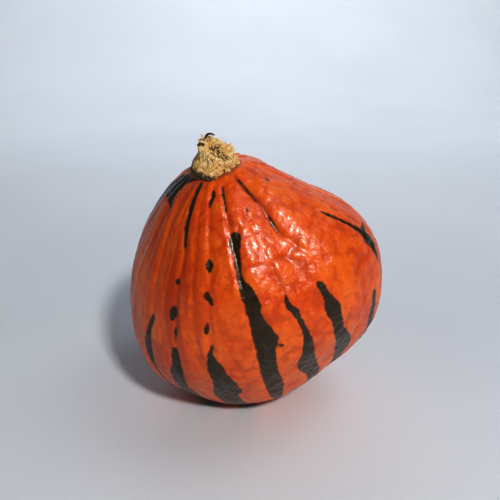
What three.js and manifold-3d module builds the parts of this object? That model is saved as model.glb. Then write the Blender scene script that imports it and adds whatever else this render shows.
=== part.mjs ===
// Winter squash: a lopsided, teardrop-shaped fruit with a short corky stem, at rest on a small flat spot.
// Millimetres, +Z up. The origin is on the floor, under the middle of the squash.
import * as THREE from "three";
import { mergeVertices } from "three/addons/utils/BufferGeometryUtils.js";
import Module from "manifold-3d";

// The heart is the point inside the fruit that its radii are measured from. The stem leans left and forward.
const HEART = new THREE.Vector3(-0.4, 0.6, 90);
const STEM_AXIS = new THREE.Vector3(-0.25, -0.257, 0.934).normalize();

// Radius of the fruit before its swellings, by angle from the stem in degrees
const PROFILE_ANGLES = [0, 15, 35, 60, 85, 110, 135, 160, 180];
const PROFILE_RADII = [110, 105, 98.5, 95, 92, 91, 96.5, 95, 94];

// Soft swellings and hollows. Each is centred at an angle from the stem and an angle around it, counted
// from the right side towards the back, and fades with distance over its spread. Angles are in degrees.
const SWELLINGS = [
  { place: "left belly", fromStem: 108, around: 198, height: 6, spread: 34 },
  { place: "underside at the front right", fromStem: 133, around: 314, height: -13.5, spread: 34 },
  { place: "flat right shoulder", fromStem: 43, around: 33, height: -17, spread: 26 },
  { place: "right belly", fromStem: 84, around: 355, height: 7, spread: 30 },
  { place: "left shoulder", fromStem: 47, around: 192, height: -8, spread: 28 },
  { place: "left heel", fromStem: 105, around: 212, height: 5.5, spread: 15 },
  { place: "front of the heel", fromStem: 117, around: 234, height: -2.5, spread: 15 },
  { place: "right jowl", fromStem: 112, around: 334, height: 6, spread: 15 },
  { place: "under the jowl", fromStem: 123, around: 310, height: -2, spread: 15 },
  { place: "collar behind the stem", fromStem: 20, around: 65, height: 2, spread: 12 },
];
const MERIDIANS = 72;
const PARALLELS = 40;

// The corky stem: a fluted stump that stands more upright than the fruit, with a slanted, torn end.
// It sits a little to the right of the axis. Its outline is its radius at each height above the skin there.
const STEM_TILT = 12;
const STEM_OFFSET = 2;
const STEM_OUTLINE = [
  { height: -9, radius: 18 },
  { height: -3, radius: 17 },
  { height: 1.5, radius: 14.2 },
  { height: 4, radius: 12.8 },
  { height: 8, radius: 12 },
  { height: 18, radius: 12 },
];
const STEM_FLUTES = 7;
const STEM_FLUTE_DEPTH = 0.7;
const STEM_SEGMENTS = 42;
const CUT_HEIGHT = 8.4;
const CUT_NORMAL = new THREE.Vector3(0.42, -0.075, 0.905).normalize();

// Clearance between the stem and the skin that it grows from
const SEAT_GAP = 0.3;

const wasm = await Module();
wasm.setup();

const profile = new THREE.CubicInterpolant(PROFILE_ANGLES, PROFILE_RADII, 1);
profile.settings = { endingStart: THREE.ZeroSlopeEnding, endingEnd: THREE.ZeroSlopeEnding };

// Unit direction at an angle from the stem and an angle around it, in the fruit's own upright frame
function direction(fromStem, around) {
  const polar = THREE.MathUtils.degToRad(fromStem);
  const turn = THREE.MathUtils.degToRad(around);
  const ring = Math.sin(polar);
  return new THREE.Vector3(ring * Math.cos(turn), ring * Math.sin(turn), Math.cos(polar));
}

const swellings = SWELLINGS.map((swelling) => ({
  ...swelling,
  centre: direction(swelling.fromStem, swelling.around),
}));

// Distance from the heart to the skin along a unit direction
function skinRadius(way) {
  const fromStem = THREE.MathUtils.radToDeg(Math.acos(THREE.MathUtils.clamp(way.z, -1, 1)));
  let radius = profile.evaluate(fromStem)[0];
  for (const { centre, height, spread } of swellings) {
    const away = THREE.MathUtils.radToDeg(way.angleTo(centre)) / spread;
    radius += height * Math.exp(-0.5 * away * away);
  }
  return radius;
}

// Turns the upright frame so that its +Z runs along the stem and its +X stays on the right
function leaningFrame() {
  const right = new THREE.Vector3(1, 0, 0).addScaledVector(STEM_AXIS, -STEM_AXIS.x).normalize();
  const back = new THREE.Vector3().crossVectors(STEM_AXIS, right);
  return new THREE.Matrix4().makeBasis(right, back, STEM_AXIS);
}
const lean = leaningFrame();

function toSolid(geometry) {
  const bare = geometry.clone();
  bare.deleteAttribute("normal");
  bare.deleteAttribute("uv");
  const merged = mergeVertices(bare);
  return new wasm.Manifold(new wasm.Mesh({
    numProp: 3,
    vertProperties: new Float32Array(merged.attributes.position.array),
    triVerts: new Uint32Array(merged.index.array),
  }));
}

function toGeometry(solid) {
  const { vertProperties, triVerts } = solid.getMesh();
  const geometry = new THREE.BufferGeometry();
  geometry.setAttribute("position", new THREE.BufferAttribute(vertProperties, 3));
  geometry.setIndex(new THREE.BufferAttribute(triVerts, 1));
  geometry.computeVertexNormals();
  return geometry;
}

// The whole fruit around its heart, leaning, with its skin moved out by a margin
function leaningFruit(margin) {
  const geometry = new THREE.SphereGeometry(1, MERIDIANS, PARALLELS);
  geometry.rotateX(Math.PI / 2);
  const position = geometry.attributes.position;
  const way = new THREE.Vector3();
  for (let i = 0; i < position.count; i += 1) {
    way.fromBufferAttribute(position, i).normalize();
    way.multiplyScalar(skinRadius(way) + margin);
    position.setXYZ(i, way.x, way.y, way.z);
  }
  return toSolid(geometry.applyMatrix4(lean));
}

// Everything below the floor, which leaves the flat spot that the squash rests on
function belowFloor() {
  const width = 4 * HEART.z;
  const slab = new THREE.BoxGeometry(width, width, HEART.z);
  slab.translate(0, 0, -1.5 * HEART.z);
  return toSolid(slab);
}

function makeFruit() {
  const material = new THREE.MeshStandardMaterial({ color: 0xdc5210, roughness: 0.35, metalness: 0 });
  const mesh = new THREE.Mesh(toGeometry(leaningFruit(0).subtract(belowFloor())), material);
  mesh.name = "fruit";
  return mesh;
}

// Moves a piece of the stem from the stump's own frame to its seat on the leaning fruit
function seatStem(geometry) {
  geometry.rotateY(THREE.MathUtils.degToRad(STEM_TILT));
  geometry.translate(STEM_OFFSET, 0, skinRadius(new THREE.Vector3(0, 0, 1)));
  return toSolid(geometry.applyMatrix4(lean));
}

// A fluted stump that flares into a foot under the skin
function flutedStump() {
  const foot = STEM_OUTLINE[0];
  const head = STEM_OUTLINE[STEM_OUTLINE.length - 1];
  const wall = STEM_OUTLINE.map(({ height, radius }) => new THREE.Vector2(radius, height));
  const outline = [new THREE.Vector2(0, foot.height), ...wall, new THREE.Vector2(0, head.height)];
  const geometry = new THREE.LatheGeometry(outline, STEM_SEGMENTS);
  geometry.rotateX(Math.PI / 2);
  const position = geometry.attributes.position;
  for (let i = 0; i < position.count; i += 1) {
    const [x, y, z] = [position.getX(i), position.getY(i), position.getZ(i)];
    const radius = Math.hypot(x, y);
    if (radius > 0) {
      const grow = 1 + (STEM_FLUTE_DEPTH / radius) * Math.cos(STEM_FLUTES * Math.atan2(y, x));
      position.setXYZ(i, x * grow, y * grow, z);
    }
  }
  return seatStem(geometry);
}

// Everything above the slanted end of the stem
function aboveCut() {
  const reach = 4 * STEM_OUTLINE[0].radius;
  const block = new THREE.BoxGeometry(reach, reach, reach);
  block.translate(0, 0, reach / 2);
  block.applyQuaternion(new THREE.Quaternion().setFromUnitVectors(new THREE.Vector3(0, 0, 1), CUT_NORMAL));
  block.translate(0, 0, CUT_HEIGHT);
  return seatStem(block);
}

function makeStem() {
  const material = new THREE.MeshStandardMaterial({ color: 0xc39a58, roughness: 0.9, metalness: 0 });
  const stump = flutedStump().subtract(aboveCut()).subtract(leaningFruit(SEAT_GAP));
  const mesh = new THREE.Mesh(toGeometry(stump), material);
  mesh.name = "stem";
  return mesh;
}

const squash = new THREE.Group();
squash.position.copy(HEART);
squash.add(makeFruit(), makeStem());

export default squash;
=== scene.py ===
"""The looks of a winter squash: its glossy striped rind, its corky stem, and the studio that it stands in.

Everything is in metres, +Z up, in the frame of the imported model. A place on the fruit is given by its angle
from the stem and its angle around the stem, in degrees. The angle around starts at the right side and runs by
the back and the left to the front, which is at 270.
"""
import logging
import math
import random
from dataclasses import dataclass, field
from enum import Enum

import bpy
import numpy as np
from mathutils import Matrix, Vector, noise
from mathutils.bvhtree import BVHTree


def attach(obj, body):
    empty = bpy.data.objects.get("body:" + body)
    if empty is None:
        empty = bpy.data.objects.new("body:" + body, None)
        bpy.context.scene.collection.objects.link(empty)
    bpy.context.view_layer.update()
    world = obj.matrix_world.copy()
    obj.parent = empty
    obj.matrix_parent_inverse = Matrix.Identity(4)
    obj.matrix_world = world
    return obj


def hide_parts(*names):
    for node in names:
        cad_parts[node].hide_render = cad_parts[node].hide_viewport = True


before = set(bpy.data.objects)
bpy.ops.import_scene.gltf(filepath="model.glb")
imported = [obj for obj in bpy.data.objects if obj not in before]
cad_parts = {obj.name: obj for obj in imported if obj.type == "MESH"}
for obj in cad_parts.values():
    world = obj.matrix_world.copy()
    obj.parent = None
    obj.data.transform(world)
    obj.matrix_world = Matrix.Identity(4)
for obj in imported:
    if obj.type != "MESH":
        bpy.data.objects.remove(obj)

LOG = logging.getLogger("squash")
MM = 0.001
DEG = math.pi / 180.0

# A place is an angle from the stem and an angle around it. A range is a lowest and a highest number.
# A row crosses a mark: it says where the row is, and where the mark's left and right edges are on it.
Colour = tuple[float, float, float, float]
Triple = tuple[float, float, float]
Pixel = tuple[float, float]
Place = tuple[float, float]
Range = tuple[float, float]
Row = Triple
Socket = bpy.types.NodeSocket


class MarkEnd(Enum):
    """How the lower end of a dark mark looks."""

    CLOSED = "ends where the last row is"
    RUNS_UNDER = "runs on under the fruit towards the blossom end"


class Wall(Enum):
    """The parts of the stem's surface, which are torn and creased in their own ways."""

    FLANK = "side of the stump"
    FACE = "torn end"
    UNDERSIDE = "side that sits on the rind"


def select_only(piece: bpy.types.Object) -> None:
    """Selects one piece and makes it the active one.

    Args:
        piece: The object that the next operators act on.
    """
    bpy.ops.object.select_all(action="DESELECT")
    piece.select_set(True)
    bpy.context.view_layer.objects.active = piece


def apply_modifier(piece: bpy.types.Object, kind: str, **settings: object) -> None:
    """Adds one modifier to a piece and applies it.

    Args:
        piece: The object to modify.
        kind: The modifier's type, such as SMOOTH.
        settings: The modifier's fields and their values.
    """
    select_only(piece)
    modifier = piece.modifiers.new(kind.lower(), kind)
    for name, value in settings.items():
        setattr(modifier, name, value)
    bpy.ops.object.modifier_apply(modifier=modifier.name)


def read_points(piece: bpy.types.Object, what: str = "co") -> np.ndarray:
    """Reads a vector of every vertex.

    Args:
        piece: The mesh object.
        what: The vertex field, co for its place or normal for its normal.

    Returns:
        An array of one row of three numbers for each vertex.
    """
    flat = np.empty(3 * len(piece.data.vertices), np.float32)
    piece.data.vertices.foreach_get(what, flat)
    return flat.reshape(-1, 3).astype(float)


def write_points(piece: bpy.types.Object, points: np.ndarray) -> None:
    """Moves every vertex.

    Args:
        piece: The mesh object.
        points: The new places, one row for each vertex.
    """
    piece.data.vertices.foreach_set("co", points.astype(np.float32).ravel())
    piece.data.update()


def write_attribute(piece: bpy.types.Object, name: str, values: np.ndarray) -> None:
    """Stores a number or a vector at every vertex, for the materials to read.

    Args:
        piece: The mesh object.
        name: The attribute's name.
        values: One number, or one row of three numbers, for each vertex.
    """
    if values.ndim == 1:
        layer = piece.data.attributes.new(name, "FLOAT", "POINT")
        layer.data.foreach_set("value", values.astype(np.float32))
    else:
        layer = piece.data.attributes.new(name, "FLOAT_VECTOR", "POINT")
        layer.data.foreach_set("vector", values.astype(np.float32).ravel())


def noise_at(points: np.ndarray, size: float) -> np.ndarray:
    """Smooth noise at each point.

    Args:
        points: One row of three numbers for each point.
        size: The size of the noise's lumps, in the units of the points.

    Returns:
        Numbers from about -1 to 1.
    """
    return np.array([noise.noise(place) for place in (points / size).tolist()])


def cells_at(points: np.ndarray, size: float) -> np.ndarray:
    """Distance from each point to the middle of its cell, for pillow-like bumps.

    Args:
        points: One row of three numbers for each point.
        size: The size of the cells, in the units of the points.

    Returns:
        Distances in cells, from 0 to about 1.
    """
    return np.array([noise.voronoi(place)[0][0] for place in (points / size).tolist()])


def smooth_step(values: np.ndarray, low: float, high: float) -> np.ndarray:
    """Rises smoothly from 0 at low to 1 at high.

    Args:
        values: The numbers to map.
        low: The value that gives 0.
        high: The value that gives 1.

    Returns:
        Numbers from 0 to 1.
    """
    part = np.clip((values - low) / (high - low), 0.0, 1.0)
    return part * part * (3.0 - 2.0 * part)


def wrap_turn(degrees: np.ndarray) -> np.ndarray:
    """Brings angles into the range from -180 up to 180 degrees.

    Args:
        degrees: The angles.

    Returns:
        The same angles in that range.
    """
    return (degrees + 180.0) % 360.0 - 180.0


@dataclass(frozen=True)
class Polar:
    """Places on the fruit: angle from the stem, angle around it, in degrees, and distance from the heart."""

    from_stem: np.ndarray
    around: np.ndarray
    radius: np.ndarray

    def ring(self) -> np.ndarray:
        """Radius of the ring around the stem axis at each place.

        Returns:
            Metres.
        """
        return self.radius * np.sin(self.from_stem * DEG)


@dataclass(frozen=True)
class FruitAxes:
    """The heart of the fruit and the way its stem leans, as the CAD part is built."""

    heart: Triple = (-0.0004, 0.0006, 0.090)
    stem_lean: Triple = (-0.25, -0.257, 0.934)

    def turn(self) -> Matrix:
        """The rotation from the upright fruit to the leaning one.

        Returns:
            A matrix with the columns right, back and stem.
        """
        stem = Vector(self.stem_lean).normalized()
        right = (Vector((1.0, 0.0, 0.0)) - stem * stem.x).normalized()
        back = stem.cross(right)
        return Matrix((right, back, stem)).transposed()

    def polar(self, points: np.ndarray) -> Polar:
        """Turns places into angles and distances from the heart.

        Args:
            points: One row for each place.

        Returns:
            The same places in the fruit's own polar terms.
        """
        local = (points - np.array(self.heart)) @ np.array(self.turn())
        radius = np.linalg.norm(local, axis=1)
        from_stem = np.degrees(np.arccos(np.clip(local[:, 2] / radius, -1.0, 1.0)))
        around = np.degrees(np.arctan2(local[:, 1], local[:, 0])) % 360.0
        return Polar(from_stem, around, radius)


@dataclass(frozen=True)
class PhotoView:
    """The photograph's view: a level camera that looks along +Y and down."""

    frame_px: float = 500.0
    focal_px: float = 668.0
    heart_px: Pixel = (254.6, 279.5)
    heart_depth: float = 0.5
    pitch_down: float = 22.0
    sensor_mm: float = 36.0

    def axes(self) -> tuple[Vector, Vector, Vector]:
        """The camera's own directions.

        Returns:
            Right, up and backward.
        """
        pitch = self.pitch_down * DEG
        up = Vector((0.0, math.sin(pitch), math.cos(pitch)))
        back = Vector((0.0, -math.cos(pitch), math.sin(pitch)))
        return Vector((1.0, 0.0, 0.0)), up, back

    def ray(self, pixel: Pixel) -> Vector:
        """The direction from the camera through a pixel.

        Args:
            pixel: Column and row in the photograph.

        Returns:
            A direction with a depth of one along the camera's axis.
        """
        right, up, back = self.axes()
        middle = self.frame_px / 2.0
        across = (pixel[0] - middle) / self.focal_px
        upward = (middle - pixel[1]) / self.focal_px
        return right * across + up * upward - back

    def eye(self, axes: FruitAxes) -> Vector:
        """The camera's place, which puts the heart of the fruit at its pixel.

        Args:
            axes: The fruit that the camera looks at.

        Returns:
            The place.
        """
        return Vector(axes.heart) - self.ray(self.heart_px) * self.heart_depth

    def make_camera(self, axes: FruitAxes) -> bpy.types.Object:
        """Adds the camera and makes it the scene's camera.

        Args:
            axes: The fruit that the camera looks at.

        Returns:
            The camera.
        """
        turn = ((90.0 - self.pitch_down) * DEG, 0.0, 0.0)
        bpy.ops.object.camera_add(location=self.eye(axes), rotation=turn)
        camera = bpy.context.object
        camera.name = "photo_view"
        camera.data.sensor_width = self.sensor_mm
        camera.data.lens = self.sensor_mm * self.focal_px / self.frame_px
        bpy.context.scene.camera = camera
        return camera


class NodeSheet:
    """A material's nodes, with short ways to add and join them."""

    def __init__(self, name: str) -> None:
        """Starts a material with one Principled shader.

        Args:
            name: The material's name.
        """
        self.material = bpy.data.materials.new(name)
        self.material.use_nodes = True
        self.tree = self.material.node_tree
        self.shader = self.tree.nodes["Principled BSDF"]

    def add(self, kind: str, **fields: object) -> bpy.types.Node:
        """Adds a node.

        Args:
            kind: The node's type.
            fields: The node's own fields and their values.

        Returns:
            The new node.
        """
        node = self.tree.nodes.new(kind)
        for name, value in fields.items():
            setattr(node, name, value)
        return node

    def feed(self, socket: Socket, value: object) -> None:
        """Joins an output to a socket, or sets the socket to a plain value.

        Args:
            socket: The input to feed.
            value: An output socket, a number or a colour.
        """
        if isinstance(value, Socket):
            self.tree.links.new(value, socket)
        else:
            socket.default_value = value

    def attribute(self, name: str, output: str = "Fac") -> Socket:
        """Reads an attribute of the mesh.

        Args:
            name: The attribute's name.
            output: Fac to read a number, or Vector.

        Returns:
            The attribute.
        """
        return self.add("ShaderNodeAttribute", attribute_name=name).outputs[output]

    def place(self) -> Socket:
        """Reads the object coordinates.

        Returns:
            The place, in metres.
        """
        return self.add("ShaderNodeTexCoord").outputs["Object"]

    def noise(self, vector: Socket, scale: float, detail: float = 2.0, roughness: float = 0.5) -> Socket:
        """Adds a noise texture.

        Args:
            vector: The coordinates to read.
            scale: Lumps for each unit of the coordinates.
            detail: Number of finer layers.
            roughness: Strength of the finer layers.

        Returns:
            The noise, from 0 to 1.
        """
        node = self.add("ShaderNodeTexNoise")
        self.feed(node.inputs["Vector"], vector)
        self.feed(node.inputs["Scale"], scale)
        self.feed(node.inputs["Detail"], detail)
        self.feed(node.inputs["Roughness"], roughness)
        return node.outputs["Fac"]

    def stretch(self, vector: Socket, scale: Triple) -> Socket:
        """Scales coordinates by a different number along each axis.

        Args:
            vector: The coordinates.
            scale: The three numbers.

        Returns:
            The scaled coordinates.
        """
        node = self.add("ShaderNodeMapping")
        self.feed(node.inputs["Vector"], vector)
        self.feed(node.inputs["Scale"], scale)
        return node.outputs["Vector"]

    def span(self, value: Socket, low: float, high: float, start: float = 0.0, end: float = 1.0) -> Socket:
        """Maps a range of a value smoothly to another range.

        Args:
            value: The number to map.
            low: The value that gives start.
            high: The value that gives end.
            start: The result at low.
            end: The result at high.

        Returns:
            The mapped number.
        """
        node = self.add("ShaderNodeMapRange", interpolation_type="SMOOTHSTEP")
        for name, number in (("Value", value), ("From Min", low), ("From Max", high), ("To Min", start),
                             ("To Max", end)):
            self.feed(node.inputs[name], number)
        return node.outputs["Result"]

    def combine(self, operation: str, first: object, second: object) -> Socket:
        """Joins two numbers by a math operation.

        Args:
            operation: The operation, such as ADD or MULTIPLY.
            first: An output or a number.
            second: An output or a number.

        Returns:
            The result.
        """
        node = self.add("ShaderNodeMath", operation=operation)
        self.feed(node.inputs[0], first)
        self.feed(node.inputs[1], second)
        return node.outputs["Value"]

    def tint(self, factor: object, under: object, over: object) -> Socket:
        """Lays one colour over another.

        Args:
            factor: How much of the upper colour shows.
            under: The lower colour.
            over: The upper colour.

        Returns:
            The mixed colour.
        """
        node = self.add("ShaderNodeMix", data_type="RGBA")
        self.feed(node.inputs["Factor"], factor)
        sockets = {socket.identifier: socket for socket in [*node.inputs, *node.outputs]}
        self.feed(sockets["A_Color"], under)
        self.feed(sockets["B_Color"], over)
        return sockets["Result_Color"]

    def bump(self, height: Socket, depth: float, strength: float, below: Socket | None = None) -> Socket:
        """Adds a fine relief to the shading.

        Args:
            height: The relief, from 0 to 1.
            depth: The relief's height in metres.
            strength: How much of it shows.
            below: A coarser relief that this one lies on.

        Returns:
            The bent normal.
        """
        node = self.add("ShaderNodeBump")
        self.feed(node.inputs["Height"], height)
        self.feed(node.inputs["Distance"], depth)
        self.feed(node.inputs["Strength"], strength)
        if below is not None:
            self.feed(node.inputs["Normal"], below)
        return node.outputs["Normal"]


@dataclass(frozen=True)
class RindFinish:
    """Waxy orange rind with dark olive marks, reddish creases partly in painted shade, and a dull brown
    blossom scar.

    A scale is a number of noise lumps for each metre. A scale of three numbers stretches the coordinates that
    follow the ribs.
    """

    orange: Colour = (0.80, 0.100, 0.002, 1.0)
    bright: Colour = (0.97, 0.200, 0.012, 1.0)
    deep: Colour = (0.56, 0.055, 0.001, 1.0)
    russet: Colour = (0.29, 0.065, 0.010, 1.0)
    crease_red_and_shade: Colour = (0.20, 0.020, 0.004, 1.0)
    collar: Colour = (0.25, 0.085, 0.030, 1.0)
    halo: Colour = (0.20, 0.038, 0.006, 1.0)
    olive: Colour = (0.034, 0.019, 0.003, 1.0)
    olive_pale: Colour = (0.070, 0.058, 0.022, 1.0)
    scar: Colour = (0.26, 0.17, 0.10, 1.0)
    specular: float = 0.45
    specular_tint: Colour = (1.0, 0.90, 0.86, 1.0)
    coat: float = 0.20
    coat_roughness: float = 0.12
    roughest: float = 0.44
    smoothest: float = 0.34
    shine_scale: float = 240.0
    end_scale: float = 300.0
    scar_edge: float = 175.6
    collar_edge: float = 10.4
    edge_width: float = 1.4
    patch_scale: float = 38.0
    mottle_scale: float = 190.0
    knob_scale: float = 330.0
    streak_scale: Triple = (14.0, 14.0, 1.4)
    smear_scale: Triple = (19.0, 19.0, 3.4)
    fleck_scale: Triple = (44.0, 44.0, 9.0)
    ragged_scale: float = 230.0
    ragged_reach: float = 3.4
    pebble_scale: float = 310.0
    pebble_depth: float = 1.1 * MM
    wrinkle_scale: Triple = (46.0, 46.0, 12.0)
    wrinkle_depth: float = 0.5 * MM
    pore_scale: float = 560.0
    pore_depth: float = 0.3 * MM

    def material(self) -> bpy.types.Material:
        """Builds the rind's material.

        Returns:
            The material.
        """
        sheet = NodeSheet("glossy_rind")
        place = sheet.place()
        grain = sheet.attribute("grain", "Vector")
        colour = self.skin_colour(sheet, place, grain)
        colour = self.marked_colour(sheet, place, colour)
        ends = sheet.combine("ADD", sheet.attribute("from_stem"), sheet.noise(place, self.end_scale, 3.0))
        scarred = sheet.span(ends, self.scar_edge, self.scar_edge + self.edge_width)
        colour = sheet.tint(scarred, colour, self.scar)
        collared = sheet.span(ends, self.collar_edge, self.collar_edge - self.edge_width, 0.0, 0.85)
        colour = sheet.tint(collared, colour, self.collar)
        sheet.feed(sheet.shader.inputs["Base Color"], colour)
        shine = sheet.noise(place, self.shine_scale, 3.0)
        rough = sheet.span(shine, 0.3, 0.7, self.smoothest, self.roughest)
        sheet.feed(sheet.shader.inputs["Roughness"], rough)
        sheet.feed(sheet.shader.inputs["Specular IOR Level"], self.specular)
        sheet.feed(sheet.shader.inputs["Specular Tint"], self.specular_tint)
        sheet.feed(sheet.shader.inputs["Coat Weight"], self.coat)
        sheet.feed(sheet.shader.inputs["Coat Roughness"], self.coat_roughness)
        sheet.feed(sheet.shader.inputs["Normal"], self.fine_relief(sheet, place, grain))
        return sheet.material

    def fine_relief(self, sheet: NodeSheet, place: Socket, grain: Socket) -> Socket:
        """Wrinkles that run down the fruit, small pebbles and pores, too fine for the mesh.

        Args:
            sheet: The material's nodes.
            place: Object coordinates.
            grain: Coordinates that follow the ribs.

        Returns:
            The bent normal.
        """
        high = sheet.span(sheet.attribute("from_stem"), 85.0, 120.0, 1.0, 0.3)
        pebbles = sheet.combine("MULTIPLY", sheet.noise(place, self.pebble_scale, 2.0), high)
        pebbled = sheet.bump(pebbles, self.pebble_depth, 0.65)
        wrinkles = sheet.noise(sheet.stretch(grain, self.wrinkle_scale), 1.0, 2.0)
        ribbed = sheet.span(sheet.attribute("ribbed"), 0.0, 1.0, 0.1, 1.0)
        wrinkles = sheet.combine("MULTIPLY", wrinkles, sheet.combine("MULTIPLY", ribbed, high))
        wrinkled = sheet.bump(wrinkles, self.wrinkle_depth, 0.4, pebbled)
        return sheet.bump(sheet.noise(place, self.pore_scale, 2.0), self.pore_depth, 0.35, wrinkled)

    def skin_colour(self, sheet: NodeSheet, place: Socket, grain: Socket) -> Socket:
        """The orange of the bare skin: broad patches, small mottles, painted highlights on the pillows' tops
        with painted shade between them, streaks down the ribs and dark creases.

        Args:
            sheet: The material's nodes.
            place: Object coordinates.
            grain: Coordinates that follow the ribs.

        Returns:
            The colour.
        """
        patches = sheet.span(sheet.noise(place, self.patch_scale, 3.0), 0.35, 0.68, 0.0, 0.8)
        colour = sheet.tint(patches, self.orange, self.bright)
        mottle = sheet.span(sheet.noise(place, self.mottle_scale, 3.0), 0.52, 0.70, 0.0, 0.6)
        colour = sheet.tint(mottle, colour, self.bright)
        # Painted highlight on the pillows' tops and painted shade in the hollows between them
        knobs = sheet.combine("ADD", sheet.attribute("knob"), sheet.noise(place, self.knob_scale, 3.0))
        colour = sheet.tint(sheet.span(knobs, 0.85, 1.5, 0.0, 0.6), colour, self.bright)
        colour = sheet.tint(sheet.span(knobs, 0.7, -0.1, 0.0, 0.5), colour, self.deep)
        ribbed = sheet.attribute("ribbed")
        streaks = sheet.span(sheet.noise(sheet.stretch(grain, self.streak_scale), 1.0, 4.0), 0.44, 0.64)
        streaks = sheet.combine("MULTIPLY", streaks, sheet.span(ribbed, 0.0, 1.0, 0.15, 0.85))
        colour = sheet.tint(streaks, colour, self.deep)
        smears = sheet.noise(sheet.stretch(grain, self.smear_scale), 1.0, 4.0)
        smears = sheet.combine("MULTIPLY", sheet.span(smears, 0.56, 0.80, 0.0, 0.75), ribbed)
        colour = sheet.tint(smears, colour, self.russet)
        # Dark red along the creases: partly the rind's own colour, partly painted shade in the grooves
        creases = sheet.span(sheet.attribute("crease_red_and_shade"), 0.05, 1.0, 0.0, 0.9)
        return sheet.tint(creases, colour, self.crease_red_and_shade)

    def marked_colour(self, sheet: NodeSheet, place: Socket, skin: Socket) -> Socket:
        """Lays the dark marks over the skin, with ragged edges and a brown halo.

        Args:
            sheet: The material's nodes.
            place: Object coordinates.
            skin: The colour of the bare skin.

        Returns:
            The colour.
        """
        ragged = sheet.combine("SUBTRACT", sheet.noise(place, self.ragged_scale, 5.0, 0.65), 0.5)
        ragged = sheet.combine("MULTIPLY", ragged, self.ragged_reach)
        inside = sheet.combine("ADD", sheet.attribute("stripe"), ragged)
        grain = sheet.attribute("grain", "Vector")
        flecks = sheet.noise(sheet.stretch(grain, self.fleck_scale), 1.0, 4.0)
        olive = sheet.tint(sheet.span(flecks, 0.56, 0.8), self.olive, self.olive_pale)
        colour = sheet.tint(sheet.span(inside, -0.75, 0.1, 0.0, 0.8), skin, self.halo)
        return sheet.tint(sheet.span(inside, -0.15, 0.45), colour, olive)


@dataclass(frozen=True)
class CorkFinish:
    """Dry corky stem: golden tan, pale on its worn, raised parts and dark brown in its creases, partly its
    own tone and partly painted highlight and painted shade.
    """

    tan: Colour = (0.80, 0.50, 0.18, 1.0)
    pale: Colour = (1.0, 0.87, 0.53, 1.0)
    brown: Colour = (0.080, 0.035, 0.014, 1.0)
    painted_shade_brown: Colour = (0.035, 0.018, 0.010, 1.0)
    roughness: float = 0.82
    speckle_scale: float = 900.0
    speckle_reach: float = 1.3
    fibre_scale: float = 1500.0
    fibre_depth: float = 0.5 * MM

    def material(self) -> bpy.types.Material:
        """Builds the stem's material.

        Returns:
            The material.
        """
        sheet = NodeSheet("dry_cork")
        place = sheet.place()
        speckle = sheet.combine("SUBTRACT", sheet.noise(place, self.speckle_scale, 4.0, 0.65), 0.5)
        speckle = sheet.combine("MULTIPLY", speckle, self.speckle_reach)
        height = sheet.combine("ADD", sheet.attribute("cork_tone_and_shade"), speckle)
        # Brown low in the relief and pale high in it: partly the cork's own tone, partly painted shade and
        # painted highlight; each fibre keeps its own tone
        colour = sheet.tint(sheet.span(height, 0.0, 0.45), self.brown, self.tan)
        colour = sheet.tint(sheet.span(height, 0.55, 1.05), colour, self.pale)
        # Painted shade, near black: at the stem's foot, on its left side, in the middle of its end and in its
        # slits
        painted_shade = sheet.combine("ADD", sheet.attribute("painted_shade"), speckle)
        colour = sheet.tint(sheet.span(painted_shade, 0.25, 0.9, 0.0, 0.9), colour, self.painted_shade_brown)
        sheet.feed(sheet.shader.inputs["Base Color"], colour)
        sheet.feed(sheet.shader.inputs["Roughness"], self.roughness)
        fibre = sheet.bump(sheet.noise(place, self.fibre_scale, 4.0, 0.6), self.fibre_depth, 0.6)
        sheet.feed(sheet.shader.inputs["Normal"], fibre)
        return sheet.material


@dataclass(frozen=True)
class FloorFinish:
    """Plain pale floor with a faint unevenness."""

    pale: Colour = (0.80, 0.85, 0.92, 1.0)
    paler: Colour = (0.84, 0.89, 0.95, 1.0)
    roughness: float = 0.55
    cloud_scale: float = 2.5

    def material(self) -> bpy.types.Material:
        """Builds the floor's material.

        Returns:
            The material.
        """
        sheet = NodeSheet("pale_floor")
        clouds = sheet.span(sheet.noise(sheet.place(), self.cloud_scale, 2.0), 0.3, 0.7)
        sheet.feed(sheet.shader.inputs["Base Color"], sheet.tint(clouds, self.pale, self.paler))
        sheet.feed(sheet.shader.inputs["Roughness"], self.roughness)
        return sheet.material


@dataclass(frozen=True)
class Marking:
    """A dark mark of the rind, traced on the photograph.

    Each row is a pixel row and the columns of the mark's left and right edge there, from top to bottom.
    """

    name: str
    rows: tuple[Row, ...]
    end: MarkEnd = MarkEnd.CLOSED


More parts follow.
